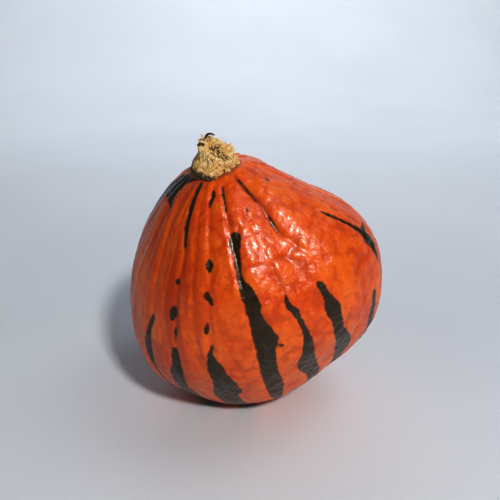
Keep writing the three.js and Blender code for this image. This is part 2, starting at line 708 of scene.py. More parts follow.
MARKINGS = (
    Marking("left_shoulder_band", (
        (172.5, 188.5, 196), (175, 185.5, 207), (177.5, 183, 208), (179.2, 180.5, 196), (183, 175, 186),
        (188, 169.5, 180), (192, 167, 176.5), (196, 166, 174), (200, 167.6, 173), (204.5, 169, 171.6),
        (209, 169.2, 170))),
    Marking("left_edge_stripe", (
        (314.5, 151.5, 153.5), (319, 149.6, 154.6), (326, 148, 151), (333, 146, 149.8),
        (341, 144.6, 149.6), (349, 146, 150.6), (358, 150, 153.6), (367, 155, 158)), MarkEnd.RUNS_UNDER),
    Marking("first_rib_line", (
        (181.5, 200.5, 202.5), (190.5, 194.8, 198.5), (206, 188.4, 193.6), (221, 185.4, 188.8),
        (236.5, 183.2, 186.6), (250, 183, 184.2))),
    Marking("first_rib_fleck", (
        (278.5, 177, 177.6), (282, 175, 179.2), (286, 176.5, 177.5))),
    Marking("first_rib_spot", (
        (306, 172.5, 174.5), (310, 170.2, 176.3), (315, 169.8, 176.6), (319, 170.4, 174.2),
        (321, 171.5, 173))),
    Marking("first_rib_thread", (
        (326, 174, 175), (331, 173.4, 176.2), (341, 173.8, 175.6))),
    Marking("first_rib_stripe", (
        (347, 173, 175.5), (353.5, 171.2, 177.6), (359, 172.8, 179.2), (364, 172.4, 180.7),
        (370, 170, 181.6), (376, 171.5, 182.6), (382.5, 176, 185), (390, 183, 191)), MarkEnd.RUNS_UNDER),
    Marking("second_rib_line", (
        (189.5, 212.5, 213.8), (194, 211.4, 215), (200, 209.3, 213), (207, 207.6, 209.4))),
    Marking("second_rib_high_spot", (
        (258.5, 207.3, 208.8), (263, 205.6, 211.6), (266, 205.6, 213), (270, 206.5, 211.2),
        (273, 208, 209.6))),
    Marking("second_rib_middle_spot", (
        (291.5, 205.5, 208), (296, 203.4, 209.6), (300, 206, 212.4), (304, 209, 213),
        (306.5, 210.5, 212))),
    Marking("second_rib_low_spot", (
        (323.5, 206, 207.5), (327, 204, 209), (331.5, 204, 209), (335, 205.7, 207.5))),
    Marking("second_rib_stripe", (
        (346.5, 211.6, 213.4), (350, 209.6, 213), (356.5, 207.6, 211.8), (362.6, 206.8, 218.2),
        (368, 207.4, 224.4), (375, 209.8, 227), (381, 213, 235), (387, 213.6, 239), (391, 214, 243.5),
        (396, 215, 236)), MarkEnd.RUNS_UNDER),
    Marking("main_stripe_thread", (
        (186, 221, 222.8), (191, 221.4, 223.8), (203, 223.4, 225.8), (213, 225.4, 226.8))),
    Marking("main_stripe", (
        (231.5, 232.4, 237.6), (235, 229.2, 240.4), (243, 228.6, 240.6), (248, 230.6, 239.8),
        (254, 233.2, 240), (264.5, 234, 240.2), (276, 236, 241.4), (282, 237.6, 244.2),
        (288, 238.8, 252.8), (296, 240.6, 256.6), (305, 243.6, 261.4), (311.6, 245.6, 259.9),
        (318.3, 248, 264.2), (327, 250.2, 270.9), (335.5, 252.3, 277.6), (341, 253.7, 278.4),
        (349, 255.6, 275.7), (360, 257.6, 275.7), (372, 260.8, 278.6), (382, 264, 283.4),
        (391, 268, 283.4), (396, 270.5, 281)), MarkEnd.RUNS_UNDER),
    Marking("main_stripe_tick", (
        (343.6, 279, 281), (345, 279, 284.5), (346.4, 279, 283))),
    Marking("third_stripe", (
        (293, 285.6, 286.8), (299, 285.2, 287.8), (305, 285.5, 291.2), (308.5, 287, 298.6),
        (314.5, 292.6, 300.6), (323, 299, 304.4), (331.7, 303.3, 309.2), (343, 303.5, 313.8),
        (354.6, 302.5, 314), (363, 297.2, 317), (369.5, 298, 320), (376, 309, 315.5)), MarkEnd.RUNS_UNDER),
    Marking("fourth_stripe", (
        (281, 318.5, 322), (284, 316.6, 324.8), (289, 320, 326.4), (295.3, 323.4, 331.2),
        (301, 324.5, 337.9), (311.6, 324.6, 339.6), (320, 330, 341.4), (328, 332.8, 343.8),
        (334.5, 334, 350.2), (340, 335.6, 351), (348, 335.4, 345.5), (354, 334.5, 341)), MarkEnd.RUNS_UNDER),
    Marking("upper_crease_line", (
        (179, 237.2, 238.6), (183.5, 241, 244.2), (189, 246.4, 249.6), (194.5, 252.2, 254.8),
        (198, 256, 257.4))),
    Marking("lower_crease_line", (
        (212.5, 269.4, 270.4), (217, 271, 273.8), (222, 273.8, 276.8), (226.5, 276.6, 278.8),
        (230, 279, 280))),
    Marking("high_nick", (
        (177, 265.2, 266.4), (179, 265.8, 268.8), (181, 268, 269.6))),
    Marking("low_nick", (
        (205.5, 246, 247.2), (208.5, 246.2, 248.4), (211, 247.2, 248.4))),
    Marking("right_shoulder_stripe", (
        (209.5, 320.8, 322.4), (213, 325.6, 330), (217.5, 334.2, 339.2), (221.5, 342.6, 347.6),
        (227.5, 351.6, 357.4), (233, 359, 366.4), (239, 363.2, 371.8), (246, 369, 375.4),
        (252, 373.2, 377.4), (258, 376.4, 378.4), (263, 378.2, 379))),
    Marking("right_shoulder_spot", (
        (222.5, 362, 363), (226, 360.6, 364), (231, 361, 365), (236, 362.4, 367))),
    Marking("right_edge_stripe", (
        (289, 373.6, 375.4), (294, 372.2, 375.4), (302, 371.2, 374.8), (310, 370.2, 374.2),
        (318, 368.4, 372)), MarkEnd.RUNS_UNDER),
)

# The left shoulder's band runs on down the fruit's edge, where the photograph shows it only as a dark rim.
# Each row is an angle from the stem and the angles around it of the band's two edges.
SHOULDER_TONGUE: tuple[Row, ...] = (
    (15, 160, 178), (19, 155, 180), (23, 157, 176), (27, 154, 174), (32, 159, 174.5), (36, 159, 171),
    (40, 163, 172), (45, 164, 170), (51, 168, 169.5),
)


@dataclass(frozen=True)
class Patch:
    """A dark mark on the fruit itself. Its outline is rows of angle from the stem and angle around it.

    Distances from it are worked out as far as 8 mm, which is less than 6 degrees along the fruit.
    """

    outline: np.ndarray
    far: float = 8.0
    far_angle: float = 6.0

    @classmethod
    def rounded(cls, left: list[Place], right: list[Place]) -> "Patch":
        """Makes a mark from its two edges, with its corners cut so that they are blunt.

        Args:
            left: Places down the left edge.
            right: Places down the right edge.

        Returns:
            The mark.
        """
        outline = np.array(list(left) + list(right)[::-1], float)
        outline[:, 1] = outline[0, 1] + wrap_turn(outline[:, 1] - outline[0, 1])
        after = np.roll(outline, -1, axis=0)
        cut = np.stack([0.75 * outline + 0.25 * after, 0.25 * outline + 0.75 * after], axis=1)
        return cls(cut.reshape(-1, 2))

    @classmethod
    def between(cls, rows: list[Row] | tuple[Row, ...]) -> "Patch":
        """Makes a mark from rows.

        Args:
            rows: Angles from the stem, each with the angles around it of the left and right edges.

        Returns:
            The mark.
        """
        return cls.rounded([row[:2] for row in rows], [row[::2] for row in rows])

    def inside(self, polar: Polar) -> np.ndarray:
        """How far inside the mark each place is.

        Args:
            polar: The places.

        Returns:
            Millimetres from the outline, negative outside, down to the far limit.
        """
        middle = self.outline[:, 1].mean()
        turn = wrap_turn(polar.around - middle)
        corners = self.outline - np.array((0.0, middle))
        margin = self.far * MM / np.maximum(polar.ring(), self.far * MM) / DEG
        low, high = corners.min(axis=0), corners.max(axis=0)
        near = (turn > low[1] - margin) & (turn < high[1] + margin)
        near &= (polar.from_stem > low[0] - self.far_angle) & (polar.from_stem < high[0] + self.far_angle)
        result = np.full(len(turn), -self.far)
        close = Polar(polar.from_stem[near], turn[near], polar.radius[near])
        result[near] = self.signed(corners, close)
        return np.maximum(result, -self.far)

    @staticmethod
    def signed(corners: np.ndarray, places: Polar) -> np.ndarray:
        """Signed distance from places to a closed outline, measured over the skin.

        Args:
            corners: The outline, with its angles around the stem counted from its middle.
            places: The places, with their angles counted in the same way.

        Returns:
            Millimetres, positive inside.
        """
        turn, ring = places.around, places.ring()
        best = np.full(len(turn), np.inf)
        within = np.zeros(len(turn), bool)
        for start, end in zip(corners, np.roll(corners, -1, axis=0)):
            x0, x1 = [(corner[1] - turn) * DEG * ring / MM for corner in (start, end)]
            y0, y1 = [(corner[0] - places.from_stem) * DEG * places.radius / MM for corner in (start, end)]
            dx, dy = x1 - x0, y1 - y0
            part = np.clip(-(x0 * dx + y0 * dy) / (dx * dx + dy * dy + 1e-9), 0.0, 1.0)
            best = np.minimum(best, np.hypot(x0 + part * dx, y0 + part * dy))
            crosses = (y0 > 0.0) != (y1 > 0.0)
            within ^= crosses & (x0 - y0 * dx / np.where(crosses, dy, 1.0) > 0.0)
        return np.where(within, best, -best)


@dataclass
class MarkPattern:
    """All the dark marks: those that the photograph shows, and their like on the hidden side.

    Starts and ends are angles from the stem, half widths are in millimetres, and pairs are ranges for chance.
    """

    view: PhotoView
    axes: FruitAxes
    seed: int = 11
    under_end: float = 170.0
    hidden_from: float = -4.0
    hidden_to: float = 206.0
    hidden_step: float = 15.5
    belly_radius: float = 93.0 * MM
    stripe_start: Range = (58.0, 98.0)
    stripe_half: Range = (2.6, 6.4)
    spot_start: float = 34.0
    spot_gap: Range = (13.0, 20.0)
    spot_chance: float = 0.45
    thread_chance: float = 0.6
    thread_start: float = 9.0
    thread_end: Range = (18.0, 36.0)
    thread_half: float = 1.3
    longest_pull: float = 0.2
    pulls: int = 81

    def inside(self, points: np.ndarray, normals: np.ndarray, fruit: BVHTree) -> np.ndarray:
        """How far inside a mark each place is.

        The invented marks keep to the places that the photograph can't show.

        Args:
            points: The places.
            normals: The skin's normals there.
            fruit: The fruit's surface, which the traced rows are thrown onto.

        Returns:
            Millimetres from the nearest edge, negative outside.
        """
        polar = self.axes.polar(points)
        seen = [self.traced(marking, fruit) for marking in MARKINGS]
        seen.append(Patch.between(SHOULDER_TONGUE))
        traced = np.max([patch.inside(polar) for patch in seen], axis=0)
        hidden = np.max([patch.inside(polar) for patch in self.hidden()], axis=0)
        to_eye = np.array(self.view.eye(self.axes)) - points
        to_eye /= np.linalg.norm(to_eye, axis=1)[:, None]
        unseen = -np.sum(normals * to_eye, axis=1) * self.belly_radius / MM
        return np.maximum(traced, np.minimum(hidden, unseen))

    def land(self, pixel: Pixel, fruit: BVHTree) -> Place:
        """Finds the place on the fruit that a pixel shows. A pixel that misses is pulled towards the heart.

        Args:
            pixel: Column and row in the photograph.
            fruit: The fruit's surface.

        Returns:
            Angle from the stem and angle around it.
        """
        eye = self.view.eye(self.axes)
        heart = Vector(self.view.heart_px)
        for pull in np.linspace(0.0, self.longest_pull, self.pulls):
            ray = self.view.ray(Vector(pixel).lerp(heart, pull))
            place = fruit.ray_cast(eye, ray.normalized())[0]
            if place is not None:
                break
        polar = self.axes.polar(np.array([place]))
        return polar.from_stem[0], polar.around[0]

    def traced(self, marking: Marking, fruit: BVHTree) -> Patch:
        """Throws one traced mark onto the fruit.

        Args:
            marking: The rows in the photograph.
            fruit: The fruit's surface.

        Returns:
            The mark on the fruit.
        """
        edges = []
        for side in (1, 2):
            edge = [self.land((row[side], row[0]), fruit) for row in marking.rows]
            if marking.end is MarkEnd.RUNS_UNDER:
                edge.append((self.under_end, edge[-1][1]))
            edges.append(edge)
        return Patch.rounded(*edges)

    def hidden(self) -> list[Patch]:
        """Makes marks like the visible ones on the side that the photograph doesn't show.

        Returns:
            The marks.
        """
        draw = random.Random(self.seed)
        patches = []
        for around in np.arange(self.hidden_from, self.hidden_to, self.hidden_step):
            centre = around + draw.uniform(-3.0, 3.0)
            top = draw.uniform(*self.stripe_start)
            patches.append(self.stripe(draw, centre, top, draw.uniform(*self.stripe_half)))
            for high in np.arange(self.spot_start, top - 10.0, draw.uniform(*self.spot_gap)):
                if draw.random() < self.spot_chance:
                    patches.append(self.spot(draw, centre + draw.uniform(-2.0, 2.0), high))
            if draw.random() < self.thread_chance:
                patches.append(self.thread(centre, draw.uniform(*self.thread_end)))
        return patches

    def half_turn(self, half_mm: float, from_stem: float) -> float:
        """The angle around the stem that a half width takes up.

        Args:
            half_mm: The half width.
            from_stem: The angle from the stem where it lies.

        Returns:
            Degrees.
        """
        return half_mm * MM / (self.belly_radius * math.sin(from_stem * DEG)) / DEG

    def stripe(self, draw: random.Random, centre: float, top: float, half_mm: float) -> Patch:
        """A ragged stripe that widens from a point and runs under the fruit.

        Args:
            draw: The source of chance.
            centre: Angle around the stem.
            top: Angle from the stem where it starts.
            half_mm: Half its full width.

        Returns:
            The mark.
        """
        left = [(top, centre)]
        right = [(top, centre)]
        for from_stem in np.arange(top + 3.0, self.under_end - 5.0, 5.0):
            grown = min(1.0, 0.35 + (from_stem - top) / 40.0)
            drift = draw.uniform(-1.2, 1.2)
            for edge, way in ((left, -1.0), (right, 1.0)):
                half = half_mm * grown * draw.uniform(0.55, 1.4)
                edge.append((from_stem, centre + drift + way * self.half_turn(half, min(from_stem, 140.0))))
        return Patch.rounded(left, right)

    def spot(self, draw: random.Random, centre: float, from_stem: float) -> Patch:
        """A rounded spot above a stripe.

        Args:
            draw: The source of chance.
            centre: Angle around the stem.
            from_stem: Angle from the stem of its middle.

        Returns:
            The mark.
        """
        tall = draw.uniform(2.0, 4.5)
        half = self.half_turn(draw.uniform(1.6, 3.0), from_stem)
        rows = []
        for turn in np.linspace(0.0, math.pi, 7):
            wide = half * math.sin(turn)
            rows.append((from_stem - tall * math.cos(turn), centre - wide, centre + wide))
        return Patch.between(rows)

    def thread(self, centre: float, bottom: float) -> Patch:
        """A thin dark line that starts at the stem.

        Args:
            centre: Angle around the stem.
            bottom: Angle from the stem where it ends.

        Returns:
            The mark.
        """
        middle = (self.thread_start + bottom) / 2.0
        half = self.half_turn(self.thread_half, middle)
        return Patch.between([(self.thread_start, centre, centre), (middle, centre - half, centre + half),
                              (bottom, centre, centre)])


@dataclass(frozen=True)
class Groove:
    """A crease down the fruit, or a ridge where its depth is negative.

    The path is rows of angle from the stem and angle around it, in degrees. Sizes are in millimetres.
    """

    path: tuple[Place, ...]
    depth: float
    width: float
    # How dark the rind is along the line: partly its own red, partly painted shade in the groove
    dark: float = 0.15
    fade_in: float = 6.0
    fade_out: float = 26.0

    def shape(self, polar: Polar) -> np.ndarray:
        """How much of the groove each place has.

        Args:
            polar: The places.

        Returns:
            Numbers from 0 outside the groove to 1 on its line.
        """
        path = np.array(self.path)
        centre = np.interp(polar.from_stem, path[:, 0], path[:, 1])
        away = wrap_turn(polar.around - centre) * DEG * polar.ring() / (self.width * MM)
        top, bottom = path[0, 0], path[-1, 0]
        along = smooth_step(polar.from_stem, top, top + self.fade_in)
        along = along * smooth_step(polar.from_stem, bottom, bottom - self.fade_out)
        return np.exp(-away * away) * along


GROOVES = (
    Groove(((8, 190), (20, 197), (36, 199), (56, 194), (125, 196)), depth=0.9, width=2.4),
    Groove(((8, 203), (30, 206), (45, 210), (52, 207), (125, 206)), depth=0.8, width=2.2),
    Groove(((8, 214), (20, 216), (37, 222), (47, 223), (69, 224), (96, 219), (120, 221)),
           depth=1.0, width=2.4),
    Groove(((10, 229), (40, 231), (95, 230)), depth=0.5, width=1.8),
    Groove(((8, 238), (15, 235), (20, 236), (32, 240), (37, 242), (71, 239), (125, 231)),
           depth=1.3, width=1.9, dark=0.35),
    Groove(((9, 249), (40, 250), (100, 247)), depth=0.5, width=2.0),
    Groove(((9, 266), (16, 263), (20, 260), (43, 260), (55, 258), (75, 255), (125, 248)),
           depth=0.9, width=2.2),
    Groove(((10, 275), (25, 272), (39, 271), (60, 271), (85, 269)), depth=-0.5, width=1.6),
    Groove(((9, 280), (15, 278), (24, 276), (44, 275), (72, 274), (85, 273), (125, 269)),
           depth=1.2, width=2.0, dark=0.35),
    Groove(((14, 287), (33, 282), (48, 282), (90, 283)), depth=-1.1, width=5.0),
    Groove(((22, 291), (45, 291), (75, 292)), depth=0.5, width=1.8),
    Groove(((14, 306), (34, 304), (43, 303), (50, 302), (58, 302), (85, 302)),
           depth=2.0, width=7.5, dark=0.0),
    Groove(((8, 309), (15, 306), (24, 308), (34, 306), (39, 306), (43, 307)),
           depth=1.2, width=1.8, dark=0.7, fade_out=6.0),
    Groove(((34, 305), (39, 306), (50, 311), (72, 316)), depth=0.9, width=2.0, dark=0.0),
    Groove(((16, 322), (30, 319), (47, 319), (63, 322), (95, 325)), depth=-1.4, width=7.5),
    Groove(((38, 335), (46, 339), (56, 343), (65, 346), (81, 348), (120, 350)), depth=1.0, width=1.7),
)


@dataclass(frozen=True)
class Swelling:
    """A broad, soft rise or hollow of the skin, too slight for the CAD solid.

    It is centred at an angle from the stem and an angle around it. Its height is in millimetres and its
    spread in degrees.
    """

    from_stem: float
    around: float
    height: float
    spread: float

    def shape(self, polar: Polar) -> np.ndarray:
        """How far it lifts each place.

        Args:
            polar: The places.

        Returns:
            Heights in millimetres.
        """
        across = wrap_turn(polar.around - self.around) * np.sin(polar.from_stem * DEG)
        along = polar.from_stem - self.from_stem
        return self.height * np.exp(-0.5 * (across ** 2 + along ** 2) / self.spread ** 2)


# The flat flank on the front right, where the highlights lie
SWELLINGS = (
    Swelling(from_stem=48.0, around=303.0, height=-3.0, spread=15.0),
    Swelling(from_stem=74.0, around=314.0, height=1.8, spread=12.0),
)


@dataclass
class RindRelief:
    """The fine shape of the skin: ribs on the left, knobs on the right and wrinkles all over.

    Heights and depths are in millimetres.
    """

    seed: int = 5
    hidden_from: float = 4.0
    hidden_to: float = 190.0
    lump_height: float = 0.55
    lump_size: float = 26.0 * MM
    knob_height: float = 0.49
    knob_size: float = 6.5 * MM
    pebble_height: float = 0.20
    pebble_size: float = 4.5 * MM
    wrinkle_height: float = 0.12
    wrinkle_size: float = 0.045
    wrinkle_stretch: Triple = (1.0, 1.0, 0.3)
    calm: float = 0.7
    knobbly_side: float = 350.0
    scar_radius: float = 8.0
    scar_rim: float = 0.7
    scar_dish: float = 0.9

    def grooves(self) -> list[Groove]:
        """The grooves that show, and seeded ones like them on the hidden side.

        Returns:
            All the grooves.
        """
        draw = random.Random(self.seed)
        grooves = list(GROOVES)
        around = self.hidden_from
        while around < self.hidden_to:
            path = [(from_stem, around + draw.uniform(-2.5, 2.5)) for from_stem in (8, 25, 45, 70)]
            path.append((draw.uniform(95.0, 135.0), around))
            grooves.append(Groove(tuple(path), draw.uniform(0.6, 1.3), draw.uniform(1.8, 2.6)))
            around += draw.uniform(10.0, 19.0)
        return grooves

    def crease_red_and_shade(self, polar: Polar) -> np.ndarray:
        """How dark the rind is along the creases at each place: partly the rind's own red, partly painted
        shade in the grooves.

        Args:
            polar: The places.

        Returns:
            Numbers from 0 to 1.
        """
        creases = [groove for groove in self.grooves() if groove.depth > 0.0]
        return np.max([groove.shape(polar) * groove.dark for groove in creases], axis=0)

    def knobs(self, points: np.ndarray, polar: Polar) -> np.ndarray:
        """Small pillows of the skin, large on the knobbly side and faint on the ribbed side.

        Args:
            points: The places.
            polar: The same places in polar terms.

        Returns:
            Numbers from about -1 between the pillows to 1 on their tops.
        """
        warp = np.stack([noise_at(points + shift, self.knob_size) for shift in (1.0, 2.0, 3.0)], axis=1)
        away = cells_at(points + 0.3 * self.knob_size * warp, self.knob_size)
        size = 0.75 + 0.5 * noise_at(points, 3.0 * self.knob_size)
        return (1.0 - 3.0 * away ** 2) * np.clip(size, 0.0, 1.0) * (1.0 - self.calm * self.ribbed(polar))

    def height(self, points: np.ndarray, polar: Polar, grain: np.ndarray, knobs: np.ndarray) -> np.ndarray:
        """How far the skin stands out at each place.

        Args:
            points: The places.
            polar: The same places in polar terms.
            grain: Coordinates that follow the ribs.
            knobs: The pillows of the skin there.

        Returns:
            Heights in millimetres.
        """
        ribs = -sum(groove.shape(polar) * groove.depth for groove in self.grooves())
        ribs += sum(swelling.shape(polar) for swelling in SWELLINGS)
        lumps = self.lump_height * noise_at(points, self.lump_size)
        pebbles = self.pebble_height * noise_at(points, self.pebble_size)
        wrinkles = self.wrinkle_height * noise_at(grain * np.array(self.wrinkle_stretch), self.wrinkle_size)
        ribbed = self.ribbed(polar)
        body = ribs + lumps + self.knob_height * knobs
        body += pebbles * (1.0 - self.calm * ribbed) + wrinkles * ribbed
        return body * smooth_step(polar.from_stem, 5.0, 11.0) + self.scar(polar)

    def ribbed(self, polar: Polar) -> np.ndarray:
        """How much each place belongs to the ribbed side, which has few knobs.

        Args:
            polar: The places.

        Returns:
            Numbers from 0 to 1.
        """
        return 1.0 - smooth_step(np.cos((polar.around - self.knobbly_side) * DEG), -0.5, 0.3)

    def scar(self, polar: Polar) -> np.ndarray:
        """The blossom scar under the fruit: a shallow dish with a low rim.

        Args:
            polar: The places.

        Returns:
            Heights in millimetres.
        """
        away = (180.0 - polar.from_stem) * DEG * polar.radius / (self.scar_radius * MM)
        rim = self.scar_rim * np.exp(-((away - 1.0) / 0.25) ** 2)
        return rim - self.scar_dish * np.exp(-(away / 0.6) ** 2)


@dataclass
class Fruit:
    """The fruit: a fine mesh drawn onto the CAD solid, with its relief, its marks and its finish."""

    axes: FruitAxes
    pattern: MarkPattern
    relief: RindRelief = field(default_factory=RindRelief)
    finish: RindFinish = field(default_factory=RindFinish)
    segments: int = 432
    rings: int = 228
    start_radius: float = 40.0 * MM
    smoothing: int = 24
    mark_sink: float = 0.12
    mark_reach: float = 8.0

    def build(self) -> bpy.types.Object:
        """Models and dresses the fruit.

        Returns:
            The finished piece.
        """
        piece = self.wrapped_sphere()
        points = read_points(piece)
        normals = read_points(piece, "normal")
        polar = self.axes.polar(points)
        grain = self.grain(polar)
        surface = BVHTree.FromObject(piece, bpy.context.evaluated_depsgraph_get())
        stripe = self.pattern.inside(points, normals, surface)
        knobs = self.relief.knobs(points, polar)
        height = self.relief.height(points, polar, grain, knobs)
        height -= self.mark_sink * smooth_step(stripe, -0.6, 0.9)
        points += normals * height[:, None] * MM
        points[:, 2] = np.maximum(points[:, 2], 0.0)
        write_points(piece, points)
        write_attribute(piece, "stripe", np.clip(stripe, -self.mark_reach, self.mark_reach))
        write_attribute(piece, "crease_red_and_shade", self.relief.crease_red_and_shade(polar))
        write_attribute(piece, "ribbed", self.relief.ribbed(polar))
        # The pillows' heights, which also set the painted highlights and painted shade in the skin's colour
        write_attribute(piece, "knob", knobs)
        write_attribute(piece, "from_stem", polar.from_stem)
        write_attribute(piece, "grain", grain)
        self.dress(piece)
        return piece

    def wrapped_sphere(self) -> bpy.types.Object:
        """A sphere with its poles on the stem axis, grown outwards until it meets the CAD solid.

        Returns:
            The smooth piece, before its relief.
        """
        bpy.ops.object.select_all(action="DESELECT")
        bpy.ops.mesh.primitive_uv_sphere_add(
            segments=self.segments, ring_count=self.rings, radius=self.start_radius,
            location=self.axes.heart, rotation=self.axes.turn().to_euler())
        piece = bpy.context.object
        piece.name = "rind"
        bpy.ops.object.transform_apply(location=True, rotation=True, scale=True)
        apply_modifier(piece, "SHRINKWRAP", target=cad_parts["fruit"], wrap_method="PROJECT",
                       use_positive_direction=True, use_negative_direction=False)
        apply_modifier(piece, "SMOOTH", factor=0.5, iterations=self.smoothing)
        return piece

    @staticmethod
    def grain(polar: Polar) -> np.ndarray:
        """Coordinates that follow the ribs: a circle around the stem, and the angle from the stem along it.

        Args:
            polar: The places.

        Returns:
            One row for each place.
        """
        turn = polar.around * DEG
        return np.stack([np.cos(turn), np.sin(turn), polar.from_stem * DEG], axis=1)

    def dress(self, piece: bpy.types.Object) -> None:
        """Gives the piece its finish and its place in the frame.

        Args:
            piece: The modelled piece.
        """
        select_only(piece)
        bpy.ops.object.shade_smooth()
        piece.data.materials.append(self.finish.material())
        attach(piece, "root")
        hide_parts("fruit")


@dataclass
class CorkStem:
    """The stem: the CAD stump with fluted, corky sides and a torn, dished end.

    Heights and depths of the relief are in millimetres. Everything else is in metres or degrees.
    """

    axes: FruitAxes
    finish: CorkFinish = field(default_factory=CorkFinish)
    tilt: float = 12.0
    offset: float = 2.0 * MM
    seat_radius: float = 104.4 * MM
    voxel: float = 0.38 * MM
    face_height: float = 8.4 * MM
    face_normal: Triple = (0.42, -0.075, 0.905)
    face_radius: float = 12.0 * MM
    flute_height: float = 0.6
    flute_length: float = 34.0 * MM
    wart_height: float = 0.8
    wart_size: float = 2.4 * MM
    tear_height: float = 0.8
    tear_size: float = 2.2 * MM
    crack_depth: float = 0.9
    crack_size: float = 3.6 * MM
    slit_depth: float = 1.3
    slit_width: float = 0.55 * MM
    slit_angles: tuple[float, ...] = (-118.0, -97.0, -80.0, -62.0, -44.0)
    sink: float = 1.2 * MM
    tuck_left: float = -1.5 * MM
    tuck_right: float = 3.2 * MM

    def turn(self) -> Matrix:
        """The rotation from the upright stump to the leaning one.

        Returns:
            The rotation.
        """
        return self.axes.turn() @ Matrix.Rotation(self.tilt * DEG, 3, "Y")

    def seat(self) -> Vector:
        """The middle of the stump's foot on the rind.

        Returns:
            The place.
        """
        return Vector(self.axes.heart) + self.axes.turn() @ Vector((self.offset, 0.0, self.seat_radius))

    def build(self) -> bpy.types.Object:
        """Models and dresses the stem.

        Returns:
            The finished piece.
        """
        piece = self.fine_stump()
        points = read_points(piece)
        normals = read_points(piece, "normal")
        turn = np.array(self.turn())
        local = (points - np.array(self.seat())) @ turn
        ways = normals @ turn
        share = self.shares(local, ways)
        height = self.flank_height(local) * share[Wall.FLANK] + self.face_relief(local) * share[Wall.FACE]
        points += normals * height[:, None] * MM
        points -= turn[:, 2] * (share[Wall.UNDERSIDE] * self.sink)[:, None]
        points -= self.tucked(local) @ turn.T
        write_points(piece, points)
        # The stump's colour follows its relief: partly the cork's own tone, partly painted shade in cracks
        # and hollows and painted highlight on raised parts
        write_attribute(piece, "cork_tone_and_shade", 0.6 + 0.5 * height)
        write_attribute(piece, "painted_shade", self.painted_shade(local))
        apply_modifier(piece, "SMOOTH", factor=0.3, iterations=1)
        self.dress(piece)
        return piece

    def fine_stump(self) -> bpy.types.Object:
        """A copy of the CAD stem with small even faces and soft edges.

        Returns:
            The smooth piece, before its relief.
        """
        piece = bpy.data.objects.new("cork_stem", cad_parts["stem"].data.copy())
        bpy.context.scene.collection.objects.link(piece)
        piece.data.materials.clear()
        select_only(piece)
        bpy.ops.object.mode_set(mode="EDIT")
        bpy.ops.mesh.select_all(action="SELECT")
        bpy.ops.mesh.remove_doubles(threshold=0.01 * MM)
        bpy.ops.object.mode_set(mode="OBJECT")
        apply_modifier(piece, "REMESH", mode="VOXEL", voxel_size=self.voxel)
        apply_modifier(piece, "SMOOTH", factor=0.5, iterations=4)
        return piece

    def shares(self, local: np.ndarray, ways: np.ndarray) -> dict[Wall, np.ndarray]:
        """How much each place belongs to each part of the surface.

        Args:
            local: Places in the stump's own frame.
            ways: Normals in the same frame.

        Returns:
            Numbers from 0 to 1 for each part.
        """
        cut = np.array(Vector(self.face_normal).normalized())
        above = (local - np.array((0.0, 0.0, self.face_height))) @ cut
        face = smooth_step(ways @ cut, 0.45, 0.8) * smooth_step(above, -2.5 * MM, -1.0 * MM)
        under = smooth_step(-ways[:, 2], 0.35, 0.7)
        return {Wall.FACE: face, Wall.UNDERSIDE: under, Wall.FLANK: (1.0 - face) * (1.0 - under)}

    def flank_height(self, local: np.ndarray) -> np.ndarray:
        """Fibre ridges along the stump, cork warts on them and cracks between them.

        Args:
            local: Places in the stump's own frame.

        Returns:
            Heights in millimetres.
        """
        turn = np.arctan2(local[:, 1], local[:, 0])
        along = np.stack([np.cos(turn), np.sin(turn), local[:, 2] / self.flute_length], axis=1)
        flutes = self.flute_height * (noise_at(along, 0.30) + 0.6 * noise_at(along, 0.15))
        warts = noise_at(local, self.wart_size) + 0.5 * noise_at(local, self.wart_size / 2.0)
        return flutes + self.wart_height * warts - self.cracks(local * np.array((1.0, 1.0, 0.55)))

    def face_relief(self, local: np.ndarray) -> np.ndarray:
        """A slightly dished, fibrous end with a ragged rim.

        Args:
            local: Places in the stump's own frame.

        Returns:
            Heights in millimetres.
        """
        out = np.hypot(local[:, 0], local[:, 1]) / self.face_radius
        dish = -0.7 * smooth_step(out, 0.8, 0.2) + 0.4 * np.exp(-((out - 0.8) / 0.16) ** 2)
        tears = noise_at(local, self.tear_size) + 0.5 * noise_at(local, self.tear_size / 2.0)
        return dish + self.tear_height * tears - self.cracks(local) - self.slits(local)

    def cracks(self, local: np.ndarray) -> np.ndarray:
        """A net of fine cracks.

        Args:
            local: Places in the stump's own frame.

        Returns:
            Depths in millimetres.
        """
        return self.crack_depth * np.exp(-(noise_at(local, self.crack_size) / 0.10) ** 2)

    def slits(self, local: np.ndarray) -> np.ndarray:
        """Short dark slits across the front of the rim.

        Args:
            local: Places in the stump's own frame.

        Returns:
            Depths in millimetres.
        """
        turn = np.degrees(np.arctan2(local[:, 1], local[:, 0]))
        out = np.hypot(local[:, 0], local[:, 1])
        window = smooth_step(out, 6.0 * MM, 8.0 * MM) * smooth_step(out, 12.5 * MM, 11.0 * MM)
        depth = np.zeros(len(local))
        for angle in self.slit_angles:
            depth += np.exp(-(wrap_turn(turn - angle) * DEG * out / self.slit_width) ** 2)
        return self.slit_depth * depth * window

    def tucked(self, local: np.ndarray) -> np.ndarray:
        """How the foot is drawn in towards the stump's axis on the right and spread out on the left.

        Args:
            local: Places in the stump's own frame.

        Returns:
            The move of each place, away from the axis, in the same frame.
        """
        low = smooth_step(local[:, 2], 6.0 * MM, -2.0 * MM)
        right = smooth_step(local[:, 0], -10.0 * MM, 10.0 * MM)
        depth = low * (self.tuck_left + (self.tuck_right - self.tuck_left) * right)
        out = np.hypot(local[:, 0], local[:, 1]) + 1e-9
        depth = depth * smooth_step(out, 3.0 * MM, 11.0 * MM)
        return np.stack([local[:, 0] / out * depth, local[:, 1] / out * depth, 0.0 * out], axis=1)

